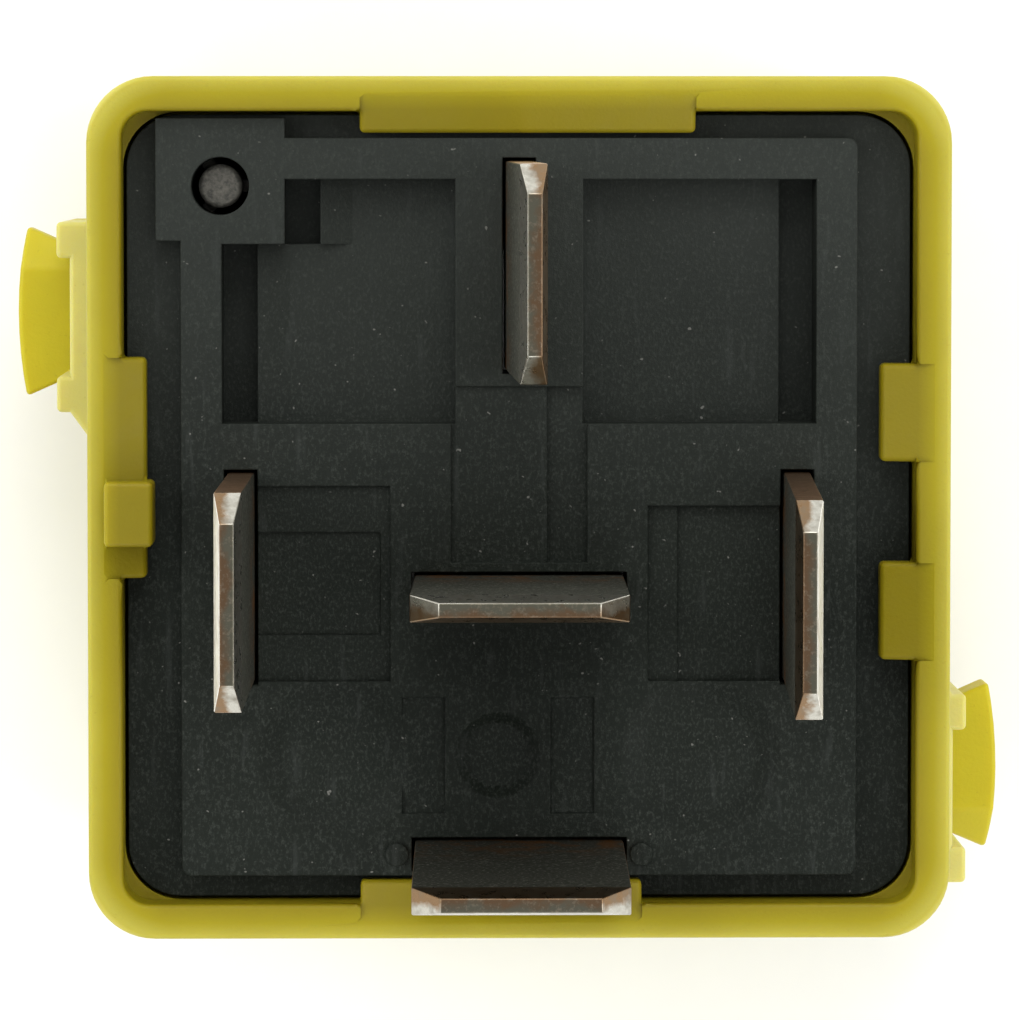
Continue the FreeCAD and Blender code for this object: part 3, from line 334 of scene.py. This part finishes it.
def tinned_face():
    """Dull tin on rolled brass, with dark pores, glints and brown stains at the root."""
    material, tree = new_material("blade_tin", Metallic=1.0)
    space = object_space(tree)
    pores = noise(tree, space, 9.0, 5.0, 0.75)
    color = blend_colors(tree, ramp(tree, pores, 0.42, 0.62),
                         rgb(0.080, 0.083, 0.066), rgb(0.190, 0.190, 0.155))
    glints = noise(tree, space, 9.0, 1.0)
    color = blend_colors(tree, ramp(tree, glints, 0.645, 0.70), color, rgb(0.62, 0.60, 0.52))
    height = axis_part(tree, space, "Z")
    near_root = ramp(tree, height, ROOT_STAIN_LOW, ROOT_STAIN_HIGH, 1.0, 0.0)
    outside = ramp(tree, height, ROOT_STAIN_START, ROOT_STAIN_LOW)
    patches = ramp(tree, noise(tree, space, 1.3, 3.0), 0.49, 0.62)
    stains = combine(tree, "MULTIPLY", combine(tree, "MULTIPLY", near_root, outside), patches)
    color = blend_colors(tree, stains, color, rgb(0.29, 0.125, 0.040))
    roughness = ramp(tree, pores, 0.35, 0.65, 0.55, 0.36)
    lines = noise(tree, object_space(tree, (3.0, 3.0, 0.25)), 4.0, 3.0)
    finish_surface(tree, color, roughness, combine(tree, "ADD", lines, pores), 0.003 * MM)
    return material


def sheared_edge():
    """Bare copper alloy of the sheared edges, streaked along the cut."""
    material, tree = new_material("blade_edge", Metallic=1.0)
    streaks = noise(tree, object_space(tree, (0.8, 0.8, 5.0)), 2.2, 4.0, 0.65)
    color = blend_colors(tree, ramp(tree, streaks, 0.35, 0.65),
                         rgb(0.26, 0.145, 0.080), rgb(0.52, 0.33, 0.20))
    roughness = ramp(tree, streaks, 0.3, 0.7, 0.42, 0.25)
    finish_surface(tree, color, roughness, streaks, 0.02 * MM)
    return material


def bare_share(tree, space, axis, middle, side):
    """How much of the bare alloy shows, from one side of the blade's thickness to the other."""
    place = axis_part(tree, space, axis)
    offset = combine(tree, "MULTIPLY", combine(tree, "SUBTRACT", place, middle), side)
    waves = ramp(tree, noise(tree, space, 1.1, 4.0, 0.65), 0.3, 0.7, -0.2, 0.2)
    return ramp(tree, combine(tree, "ADD", offset, waves), -0.12, 0.12)


def cut_end(name, axis, middle, side):
    """The narrow end of a blade, dull, brown on the bare side and olive on the tinned one."""
    material, tree = new_material(name + "_end", Metallic=1.0)
    space = object_space(tree)
    color = blend_colors(tree, bare_share(tree, space, axis, middle, side),
                         rgb(0.100, 0.096, 0.072), rgb(0.118, 0.074, 0.043))
    marks = noise(tree, space, 8.0, 4.0, 0.7)
    color = blend_colors(tree, ramp(tree, marks, 0.52, 0.74, 0.0, 0.6), color,
                         rgb(0.26, 0.22, 0.165))
    finish_surface(tree, color, ramp(tree, marks, 0.3, 0.7, 0.42, 0.30), marks, 0.006 * MM)
    return material


def coined_bevel(name, axis, middle, side):
    """Bevels that the stamping leaves round the tip, grey where the tin holds."""
    material, tree = new_material(name + "_bevel", Metallic=1.0)
    space = object_space(tree)
    color = blend_colors(tree, bare_share(tree, space, axis, middle, side),
                         rgb(0.52, 0.505, 0.44), rgb(0.245, 0.155, 0.082))
    smears = noise(tree, space, 2.5, 4.0, 0.6)
    color = blend_colors(tree, ramp(tree, smears, 0.45, 0.70, 0.0, 0.7), color,
                         rgb(0.20, 0.175, 0.130))
    roughness = ramp(tree, smears, 0.3, 0.7, 0.24, 0.36)
    finish_surface(tree, color, roughness, noise(tree, space, 3.0, 1.5), 0.001 * MM)
    return material


def painted_highlight_bevel():
    """Painted highlight of the outer long bevels that face the side lights: a bright tin colour,
    with a few worn streaks along them.
    """
    material, tree = new_material("blade_painted_highlight", Metallic=1.0)
    streaks = noise(tree, object_space(tree, (2.0, 0.4, 1.0)), 3.0, 4.0, 0.6)
    color = blend_colors(tree, ramp(tree, streaks, 0.50, 0.72), rgb(0.86, 0.84, 0.76),
                         rgb(0.40, 0.34, 0.26))
    roughness = ramp(tree, streaks, 0.3, 0.7, 0.26, 0.40)
    finish_surface(tree, color, roughness, streaks, 0.001 * MM)
    return material


def plated_iron():
    """Zinc plated iron with a cloudy, slightly grained surface."""
    material, tree = new_material("magnet_zinc", Metallic=1.0)
    space = object_space(tree)
    clouds = noise(tree, space, 0.8, 4.0)
    color = blend_colors(tree, ramp(tree, clouds, 0.35, 0.65),
                         rgb(0.50, 0.50, 0.49), rgb(0.66, 0.66, 0.64))
    roughness = ramp(tree, clouds, 0.3, 0.7, 0.30, 0.45)
    finish_surface(tree, color, roughness, noise(tree, space, 7.0, 3.0), 0.01 * MM)
    return material


def natural_nylon():
    """Uncoloured, slightly cloudy plastic of the bobbin."""
    material, tree = new_material(
        "bobbin_nylon", IOR=1.53, Subsurface_Weight=0.3, Subsurface_Scale=1.2 * MM)
    space = object_space(tree)
    clouds = noise(tree, space, 0.5, 3.0)
    color = blend_colors(tree, clouds, rgb(0.52, 0.49, 0.40), rgb(0.64, 0.61, 0.52))
    roughness = ramp(tree, clouds, 0.3, 0.7, 0.35, 0.5)
    finish_surface(tree, color, roughness, noise(tree, space, 8.0, 3.0), 0.01 * MM)
    return material


def enamelled_copper():
    """Copper wire under clear enamel, its shade changing from turn to turn."""
    material, tree = new_material(
        "copper_enamel", Metallic=1.0, Coat_Weight=0.6, Coat_Roughness=0.15)
    shade = noise(tree, object_space(tree, (0.6, 0.6, 4.0)), 1.5, 3.0)
    color = blend_colors(tree, ramp(tree, shade, 0.35, 0.65),
                         rgb(0.45, 0.15, 0.06), rgb(0.70, 0.30, 0.14))
    roughness = ramp(tree, shade, 0.3, 0.7, 0.25, 0.38)
    grain = noise(tree, object_space(tree), 6.0, 2.0)
    finish_surface(tree, color, roughness, grain, 0.008 * MM)
    return material


def resistor_lacquer():
    """Blue grey lacquer of the resistor's body."""
    material, tree = new_material("resistor_lacquer", IOR=1.5, Coat_Weight=0.3)
    grain = noise(tree, object_space(tree), 3.0, 3.0)
    color = blend_colors(tree, ramp(tree, grain, 0.35, 0.65),
                         rgb(0.10, 0.20, 0.25), rgb(0.15, 0.28, 0.33))
    finish_surface(tree, color, ramp(tree, grain, 0.3, 0.7, 0.3, 0.45), grain, 0.03 * MM)
    return material


def drawn_metal(name, dark, light, low_roughness, high_roughness):
    """Metal with faint marks across it, for wires, leaf and contacts."""
    material, tree = new_material(name, Metallic=1.0)
    marks = noise(tree, object_space(tree, (3.0, 0.5, 3.0)), 2.0, 4.0)
    color = blend_colors(tree, ramp(tree, marks, 0.35, 0.65), dark, light)
    roughness = ramp(tree, marks, 0.3, 0.7, low_roughness, high_roughness)
    grain = noise(tree, object_space(tree), 6.0, 3.0)
    finish_surface(tree, color, roughness, grain, 0.006 * MM)
    return material


def floor_paper():
    """Pale matt ground with a hardly visible grain."""
    material, tree = new_material("floor_paper", Specular_IOR_Level=0.1, Roughness=0.9)
    grain = noise(tree, object_space(tree), 0.6, 3.0)
    color = blend_colors(tree, grain, rgb(0.90, 0.90, 0.90), rgb(0.93, 0.93, 0.93))
    tree.links.new(color, tree.nodes["Principled BSDF"].inputs["Base Color"])
    return material


# Groups of faces

@contextlib.contextmanager
def editing(mesh):
    """The mesh opened for editing, and written back afterwards."""
    shape = bmesh.new()
    shape.from_mesh(mesh)
    yield shape
    shape.to_mesh(mesh)
    shape.free()


def face_groups(shape, bend):
    """Groups of touching faces that nowhere bend by more than the given angle."""
    waiting = set(shape.faces)
    groups = []
    for first in shape.faces:
        if first not in waiting:
            continue
        waiting.remove(first)
        group = [first]
        for face in group:
            for edge in face.edges:
                if len(edge.link_faces) != 2 or edge.calc_face_angle() > bend:
                    continue
                for other in edge.link_faces:
                    if other in waiting:
                        waiting.remove(other)
                        group.append(other)
        groups.append(group)
    return groups


def border_of(group):
    faces = set(group)
    return [edge for face in group for edge in face.edges
            if sum(other in faces for other in edge.link_faces) == 1]


def is_narrower(group, limit):
    """Whether a group of faces is narrower than the limit, on average."""
    area = sum(face.calc_area() for face in group)
    return 2 * area < limit * sum(edge.calc_length() for edge in border_of(group))


# Even triangles for flat regions

def inside_region(point, triangles):
    return any(abs(intersect_point_tri_2d(point, *corners)) == 1 for corners in triangles)


def edge_distance(point, first, second):
    along = second - first
    share = max(0.0, min(1.0, (point - first).dot(along) / along.length_squared))
    return (first + along * share - point).length


def spread_points(triangles, borders):
    """A grid of points inside a flat region, kept clear of its borders."""
    corners = [corner for triangle in triangles for corner in triangle]
    low_x, high_x = min(c.x for c in corners), max(c.x for c in corners)
    low_y, high_y = min(c.y for c in corners), max(c.y for c in corners)
    points = []
    for row in range(1, int((high_y - low_y) / GRID_STEP) + 1):
        for column in range(1, int((high_x - low_x) / GRID_STEP) + 1):
            shift = GRID_STEP / 2 * (row % 2)
            point = Vector((low_x + column * GRID_STEP - shift, low_y + row * GRID_STEP))
            clear = all(edge_distance(point, *border) > GRID_CLEARANCE for border in borders)
            if clear and inside_region(point, triangles):
                points.append(point)
    return points


def enclosed(faces, walls):
    """The triangles that an odd number of walls parts from the outside."""
    beside = {}
    for index, face in enumerate(faces):
        for side in zip(face, face[1:] + face[:1]):
            beside.setdefault(frozenset(side), []).append(index)
    waiting = [(owners[0], side in walls) for side, owners in beside.items() if len(owners) == 1]
    inside = {}
    while waiting:
        index, state = waiting.pop()
        if index in inside:
            continue
        inside[index] = state
        face = faces[index]
        for side in map(frozenset, zip(face, face[1:] + face[:1])):
            waiting += [(other, state != (side in walls)) for other in beside[side]]
    return [face for index, face in enumerate(faces) if inside[index]]


def refill(shape, region, with_grid):
    """Fills a flat region anew with well shaped triangles, unless its border crosses itself."""
    material_index = region[0].material_index
    normal = region[0].normal.copy()
    across = normal.orthogonal().normalized()
    upward = normal.cross(across)
    origin = region[0].verts[0].co.copy()

    def flattened(vert):
        offset = (vert.co - origin) / MM
        return Vector((offset.dot(across), offset.dot(upward)))

    border_edges = border_of(region)
    verts = list({vert for edge in border_edges for vert in edge.verts})
    verts.sort(key=lambda vert: vert.index)
    number = {vert: index for index, vert in enumerate(verts)}
    places = [flattened(vert) for vert in verts]
    pairs = [(number[edge.verts[0]], number[edge.verts[1]]) for edge in border_edges]
    grid = []
    if with_grid:
        triangles = [[flattened(vert) for vert in face.verts] for face in region]
        borders = [(places[first], places[second]) for first, second in pairs]
        grid = spread_points(triangles, borders)
    new_places, edges, new_faces, sources, edge_sources, _ = delaunay_2d_cdt(
        places + grid, pairs, [], 0, GRID_PRECISION, True)
    walls = {frozenset(edge) for edge, source in zip(edges, edge_sources) if source}
    if len(new_places) != len(places) + len(grid) or len(walls) != len(pairs):
        return
    bmesh.ops.delete(shape, geom=region, context="FACES_ONLY")
    made = []
    for place, source in zip(new_places, sources):
        if source[0] < len(verts):
            made.append(verts[source[0]])
        else:
            made.append(shape.verts.new(origin + (across * place.x + upward * place.y) * MM))
    for corners in enclosed(new_faces, walls):
        face = shape.faces.new([made[index] for index in corners])
        face.material_index = material_index
        face.smooth = True


def even_out(mesh, with_grid):
    """Replaces the long thin triangles and the many-sided faces of the flat regions."""
    with editing(mesh) as shape:
        shape.verts.index_update()
        for region in face_groups(shape, FLAT_ANGLE):
            many_sided = max(len(face.verts) for face in region) > 4
            if many_sided or (with_grid and len(region) > 2):
                refill(shape, region, with_grid)
        loose = [edge for edge in shape.edges if not edge.link_faces]
        bmesh.ops.delete(shape, geom=loose, context="EDGES")


# Rounded edges

def join_vertices(mesh):
    """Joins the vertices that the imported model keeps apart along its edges."""
    mesh.shade_smooth()
    with editing(mesh) as shape:
        bmesh.ops.remove_doubles(shape, verts=shape.verts, dist=SAME_PLACE)


def mark_edges(mesh, width):
    """Marks the sharp outer edges for rounding, but not where a face or corner is too narrow."""
    with editing(mesh) as shape:
        weight = shape.edges.layers.float.new("bevel_weight_edge")
        narrow = {edge for group in face_groups(shape, SHARP_ANGLE)
                  if is_narrower(group, NARROW_FACE * width) for edge in border_of(group)}
        marked = {edge for edge in shape.edges
                  if edge.calc_face_angle_signed() > BEVEL_ANGLE and edge not in narrow}
        for vert in shape.verts:
            meeting = [edge for edge in vert.link_edges if edge.calc_face_angle() > SHARP_ANGLE]
            for pair in itertools.combinations(meeting, 2):
                first, second = (edge.other_vert(vert).co - vert.co for edge in pair)
                if first.angle(second) < NARROW_CORNER:
                    marked -= set(pair)
        for edge in shape.edges:
            edge[weight] = float(edge in marked)
            edge.smooth = edge in marked or edge.calc_face_angle() <= SHARP_ANGLE


def set_normals(mesh, width):
    """Shades rounded edges into the wide faces beside them, which stay flat."""
    shape = bmesh.new()
    shape.from_mesh(mesh)
    group_of, area, narrow = {}, {}, set()
    for index, group in enumerate(face_groups(shape, FLAT_ANGLE)):
        area[index] = sum(face.calc_area() for face in group)
        group_of.update((face, index) for face in group)
        if is_narrower(group, ROUNDING_STRIP * width):
            narrow.add(index)
    normals = []
    for face in shape.faces:
        bend = ROUND_ANGLE if group_of[face] in narrow else SHARP_ANGLE
        for loop in face.loops:
            around = {group_of[other]: other.normal for other in loop.vert.link_faces
                      if other.normal.angle(face.normal, 0.0) < bend}
            around[group_of[face]] = face.normal
            total = sum((normal * area[group] for group, normal in around.items()), Vector())
            normals.append(total.normalized())
    shape.free()
    mesh.normals_split_custom_set(normals)


def apply_modifiers(piece):
    bpy.context.view_layer.update()
    evaluated = piece.evaluated_get(bpy.context.evaluated_depsgraph_get())
    mesh = bpy.data.meshes.new_from_object(evaluated)
    mesh.name = piece.name
    piece.modifiers.clear()
    piece.data = mesh


def soften(piece, width, segments):
    """Rounds the sharp edges of a piece and shades it smoothly between them."""
    join_vertices(piece.data)
    even_out(piece.data, with_grid=True)
    mark_edges(piece.data, width)
    bevel = piece.modifiers.new("edges", "BEVEL")
    bevel.width = width
    bevel.segments = segments
    bevel.limit_method = "WEIGHT"
    bevel.miter_outer = "MITER_ARC"
    bevel.use_clamp_overlap = False
    bevel.loop_slide = False
    apply_modifiers(piece)
    even_out(piece.data, with_grid=False)
    set_normals(piece.data, width)


# Pieces

def new_piece(node_name, mesh):
    """An object with this mesh that is to take the node's place."""
    mesh.name = node_name + "_finished"
    piece = bpy.data.objects.new(mesh.name, mesh)
    bpy.context.scene.collection.objects.link(piece)
    return piece


def copy_of(node_name):
    """A separate copy of a CAD node's mesh."""
    return new_piece(node_name, nodes[node_name].data.copy())


def set_materials(piece, *materials):
    piece.data.materials.clear()
    for material in materials:
        piece.data.materials.append(material)


def finish_piece(piece, node_name):
    """Puts the piece in the node's place and on its body."""
    body = nodes[node_name]["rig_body"]
    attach(piece, body)
    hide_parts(node_name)


def soft_piece(node_name, width, material, segments=OTHER_SEGMENTS):
    piece = copy_of(node_name)
    set_materials(piece, material)
    soften(piece, width, segments)
    finish_piece(piece, node_name)


def blade_piece(node_name, tin, edge, highlight):
    """A terminal whose broad faces are tinned, cut edges bare and tip coined."""
    piece = copy_of(node_name)
    join_vertices(piece.data)
    broad = BROAD_AXIS[node_name]
    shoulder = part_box(node_name)[1].z - TIP_LENGTH
    tip = [vertex.co[broad] / MM for vertex in piece.data.vertices if vertex.co.z > shoulder]
    across = (broad, (min(tip) + max(tip)) / 2, BARE_SIDE[node_name])
    set_materials(piece, tin, edge, coined_bevel(node_name, *across), cut_end(node_name, *across),
                  highlight)
    for polygon in piece.data.polygons:
        normal = polygon.normal
        if polygon.center.z > shoulder:
            if abs(normal.z) > END_FACING:
                polygon.material_index = END
            # The long bevel facing the side light gets the painted highlight.
            elif normal[broad] * HIGHLIGHT_SIDE.get(node_name, 0) > HIGHLIGHT_FACING:
                polygon.material_index = HIGHLIGHT
            else:
                polygon.material_index = BEVEL
        elif abs(normal[1 - broad]) > EDGE_FACING:
            polygon.material_index = EDGE
        else:
            polygon.material_index = TIN
    soften(piece, METAL_EDGE, OTHER_SEGMENTS)
    finish_piece(piece, node_name)


def winding_piece(material):
    """The coil's outer layer, with a ridge for every turn."""
    low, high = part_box("coil_winding")
    centre = (low + high) / 2
    radius = (high.x - low.x) / 2
    inner = WINDING_INNER * radius
    pitch = (high.z - low.z) / WINDING_TURNS
    groove = radius + TURN_OUTLINE[0][0] * pitch
    profile = [(inner, low.z)]
    for turn in range(WINDING_TURNS):
        profile += [(radius + outward * pitch, low.z + (turn + along) * pitch)
                    for outward, along in TURN_OUTLINE]
    profile += [(groove, high.z), (inner, high.z)]
    shape = bmesh.new()
    rings = []
    for step in range(WINDING_SEGMENTS):
        angle = 2 * math.pi * step / WINDING_SEGMENTS
        rings.append([shape.verts.new((centre.x + r * math.cos(angle),
                                       centre.y + r * math.sin(angle), z)) for r, z in profile])
    for ring, following in zip(rings, rings[1:] + rings[:1]):
        for index in range(len(profile)):
            after = (index + 1) % len(profile)
            shape.faces.new((ring[index], following[index], following[after], ring[after]))
    bmesh.ops.recalc_face_normals(shape, faces=shape.faces)
    mesh = bpy.data.meshes.new("coil_winding_finished")
    shape.to_mesh(mesh)
    shape.free()
    mesh.shade_smooth()
    piece = new_piece("coil_winding", mesh)
    set_materials(piece, material)
    finish_piece(piece, "coil_winding")


def spring_piece(material):
    """The leaf between the yoke and the armature, a copy of its node."""
    piece = copy_of("contact_spring")
    set_materials(piece, material)
    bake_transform(piece)
    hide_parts("contact_spring")


def use_on_nodes(material, *node_names):
    """Gives a material to CAD nodes that keep their own shape."""
    for node_name in node_names:
        for slot in nodes[node_name].material_slots:
            slot.link = "OBJECT"
            slot.material = material


def build_pieces():
    iron, copper = plated_iron(), enamelled_copper()
    # The third of these is the painted highlight of the lit long bevels.
    tin, edge, highlight = tinned_face(), sheared_edge(), painted_highlight_bevel()
    bronze = drawn_metal("leaf_bronze", rgb(0.52, 0.34, 0.18), rgb(0.74, 0.54, 0.32), 0.25, 0.38)
    silver = drawn_metal("contact_silver", rgb(0.72, 0.71, 0.68), rgb(0.88, 0.87, 0.84), 0.2, 0.3)
    wire = drawn_metal("wire_tin", rgb(0.58, 0.58, 0.56), rgb(0.74, 0.74, 0.72), 0.25, 0.4)

    soft_piece("cover", COVER_EDGE, yellow_plastic(), COVER_SEGMENTS)
    soft_piece("base", BASE_EDGE, black_plastic())
    soft_piece("vent_plug", BASE_EDGE, plug_plastic())
    for node_name in BROAD_AXIS:
        blade_piece(node_name, tin, edge, highlight)
    for node_name in ("yoke", "core", "armature", "armature_rivets", "yoke_rivets"):
        soft_piece(node_name, METAL_EDGE, iron)
    soft_piece("bobbin", BASE_EDGE, natural_nylon())
    winding_piece(copper)
    spring_piece(bronze)
    use_on_nodes(silver, "moving_contact", "fixed_contact_no", "fixed_contact_nc")
    use_on_nodes(copper, "coil_lead_85", "coil_lead_86")
    use_on_nodes(resistor_lacquer(), "resistor_body")
    use_on_nodes(wire, "resistor_leads")


# Floor, light and camera

def build_floor():
    bpy.ops.mesh.primitive_plane_add(size=FLOOR_SIZE)
    floor = bpy.context.object
    floor.name = "floor"
    set_materials(floor, floor_paper())


def add_softbox(name, place, power):
    light = bpy.data.lights.new(name, "AREA")
    light.shape = "DISK"
    light.size = SOFTBOX_SIZE
    light.energy = power
    holder = bpy.data.objects.new(name, light)
    holder.location = place
    holder.rotation_euler = (SOFTBOX_TARGET - place).to_track_quat("-Z", "Y").to_euler()
    bpy.context.scene.collection.objects.link(holder)


def build_light():
    """Softboxes all round, in a room that is a little brighter overhead."""
    world = bpy.data.worlds.new("studio")
    world.use_nodes = True
    tree = world.node_tree
    upward = axis_part(tree, add_node(tree, "TexCoord").outputs["Generated"], "Z")
    strength = ramp(tree, upward, OVERHEAD_START, OVERHEAD_FULL, ROOM_LIGHT, OVERHEAD_LIGHT)
    background = tree.nodes["Background"]
    background.inputs["Color"].default_value = rgb(1.0, 1.0, 1.0)
    tree.links.new(strength, background.inputs["Strength"])
    bpy.context.scene.world = world
    for name, side_x, side_y, power in SOFTBOXES:
        place = Vector((side_x * SOFTBOX_REACH, side_y * SOFTBOX_REACH, SOFTBOX_HEIGHT))
        add_softbox(name, place, power)


def build_camera():
    """The camera looks down on the blades with +Y upwards in the picture."""
    camera = bpy.data.cameras.new("camera")
    camera.lens = CAMERA_FOCAL_MM
    camera.sensor_width = CAMERA_SENSOR_MM
    camera.clip_start = CAMERA_NEAR
    back = (CAMERA_PLACE - CAMERA_TARGET).normalized()
    right = Vector((0, 1, 0)).cross(back).normalized()
    up = back.cross(right)
    holder = bpy.data.objects.new("camera", camera)
    turn = Matrix((right, up, back)).transposed().to_4x4()
    holder.matrix_world = Matrix.Translation(CAMERA_PLACE) @ turn
    bpy.context.scene.collection.objects.link(holder)
    bpy.context.scene.camera = holder


build_pieces()
build_floor()
build_light()
build_camera()
bpy.context.scene.view_settings.view_transform = "Standard"
